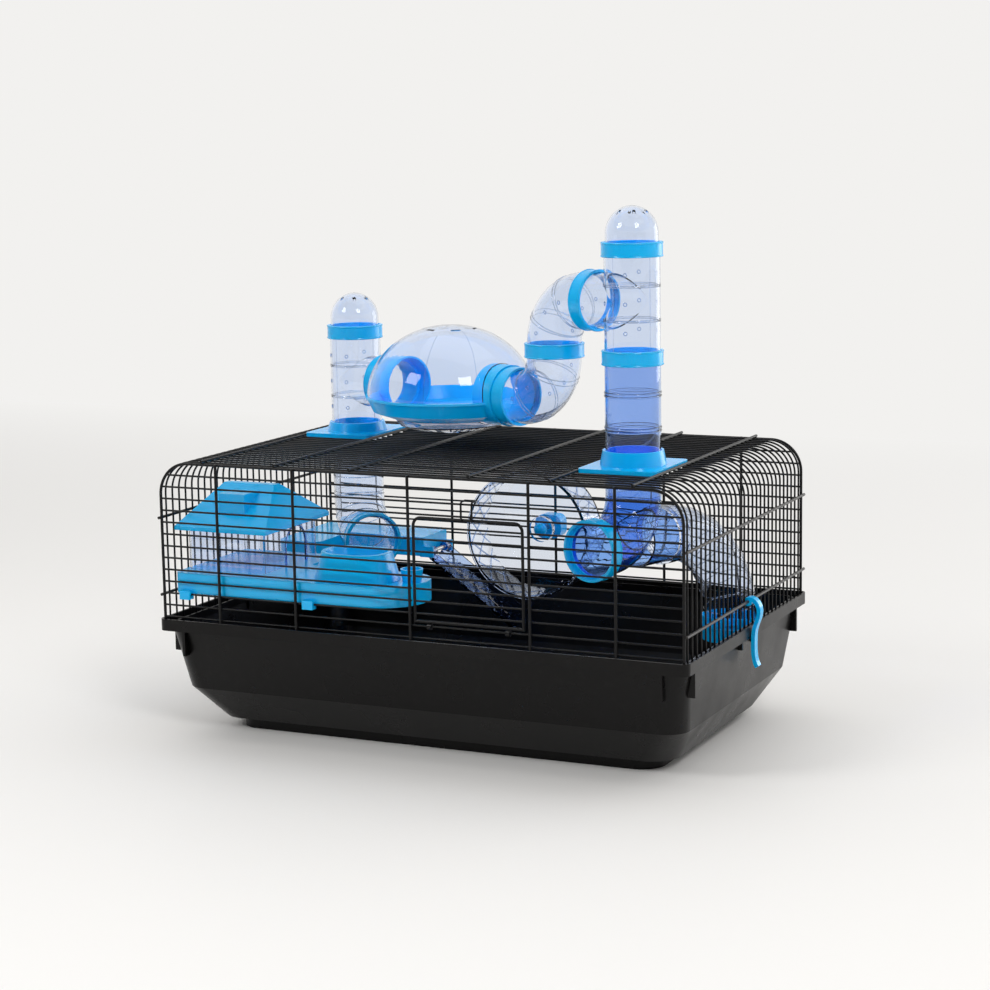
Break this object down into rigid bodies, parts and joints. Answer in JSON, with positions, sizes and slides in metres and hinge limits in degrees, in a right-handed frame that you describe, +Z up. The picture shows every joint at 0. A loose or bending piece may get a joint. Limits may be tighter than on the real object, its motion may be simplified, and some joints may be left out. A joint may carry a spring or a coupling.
{
  "type": "hamster cage",
  "caption": "Wire hamster cage on a moulded tray, with a roof-top tube run, a domed nest, a running wheel, shelves, a house, a ramp and a front door.",
  "frame": {"origin": "on the floor under the middle of the tray", "axes": "+X along the long side to the right, +Y to the back, +Z up"},
  "size_m": [0.6016, 0.366, 0.5425],
  "materials": {
    "black_plastic": "glossy moulded",
    "coated_wire": "satin coated",
    "clear_plastic": "clear",
    "clear_blue_plastic": "clear tinted",
    "blue_plastic": "glossy moulded"
  },
  "bodies": {
    "tray": {"base_tray": "black_plastic"},
    "wire_top": {"back_panel": "coated_wire", "back_platform": "blue_plastic", "bridge_drop_ring": "blue_plastic", "food_bowl": "blue_plastic", "front_panel": "coated_wire", "front_shelf": "blue_plastic", "house_walls": "clear_plastic", "left_branch_ring": "blue_plastic", "left_down_tube": "clear_plastic", "left_end_wires": "coated_wire", "left_lower_elbow": "clear_plastic", "left_mouth_ring": "blue_plastic", "left_roof_plate": "blue_plastic", "left_tee": "clear_plastic", "lower_elbow": "clear_plastic", "nest_cup": "clear_plastic", "nest_dish": "blue_plastic", "nest_port_ring": "blue_plastic", "ramp_pin": "coated_wire", "right_branch_ring": "blue_plastic", "right_down_tube": "clear_plastic", "right_end_wires": "coated_wire", "right_lower_elbow": "clear_blue_plastic", "right_mouth_ring": "blue_plastic", "right_riser_ring": "blue_plastic", "right_riser_tube": "clear_blue_plastic", "right_roof_plate": "blue_plastic", "right_tee": "clear_plastic", "roof_wires": "coated_wire", "slide_foot_ring": "blue_plastic", "slide_top_ring": "blue_plastic", "slide_tube": "clear_plastic", "treat_cup": "blue_plastic", "upper_elbow": "clear_plastic", "wheel_axle": "coated_wire", "wheel_bracket": "blue_plastic", "wheel_knob": "blue_plastic"},
    "front_door": {"door_frame": "coated_wire", "door_latch": "coated_wire"},
    "left_clip": {"left_clip_lever": "blue_plastic"},
    "right_clip": {"right_clip_lever": "blue_plastic"},
    "wheel": {"wheel_drum": "clear_plastic"},
    "ramp": {"ramp_deck": "clear_blue_plastic"},
    "house_lid": {"house_roof": "blue_plastic"},
    "nest_lid": {"nest_dome": "clear_plastic"},
    "left_cap": {"left_cap_ring": "blue_plastic", "left_cap_dome": "clear_plastic"},
    "right_cap": {"right_cap_ring": "blue_plastic", "right_cap_dome": "clear_plastic"}
  },
  "joints": [
    {"name": "wire_top_lift", "type": "slide", "parent": "tray", "child": "wire_top", "axis": [0, 0, 1], "range_m": [0, 0.15]},
    {"name": "door_hinge", "type": "hinge", "parent": "wire_top", "child": "front_door", "pos_m": [0.06275, -0.1778, 0.1379], "axis": [1, 0, 0], "range_deg": [0, 150]},
    {"name": "left_clip_hinge", "type": "hinge", "parent": "wire_top", "child": "left_clip", "pos_m": [-0.2875, 0, 0.148], "axis": [0, 1, 0], "range_deg": [0, 60]},
    {"name": "right_clip_hinge", "type": "hinge", "parent": "wire_top", "child": "right_clip", "pos_m": [0.2875, 0, 0.148], "axis": [0, -1, 0], "range_deg": [0, 60]},
    {"name": "wheel_spin", "type": "hinge", "parent": "wire_top", "child": "wheel", "pos_m": [0, 0.123, 0.18], "axis": [0, 1, 0], "continuous": true},
    {"name": "ramp_hinge", "type": "hinge", "parent": "wire_top", "child": "ramp", "pos_m": [-0.123, 0.1335, 0.152], "axis": [0, -1, 0], "range_deg": [0, 8]},
    {"name": "house_roof_lift", "type": "slide", "parent": "wire_top", "child": "house_lid", "axis": [0, 0, 1], "range_m": [0, 0.024]},
    {"name": "nest_dome_lift", "type": "slide", "parent": "wire_top", "child": "nest_lid", "axis": [0, 0, 1], "range_m": [0, 0.06]},
    {"name": "left_cap_lift", "type": "slide", "parent": "wire_top", "child": "left_cap", "axis": [0, 0, 1], "range_m": [0, 0.03]},
    {"name": "right_cap_lift", "type": "slide", "parent": "wire_top", "child": "right_cap", "axis": [0, 0, 1], "range_m": [0, 0.03]}
  ]
}
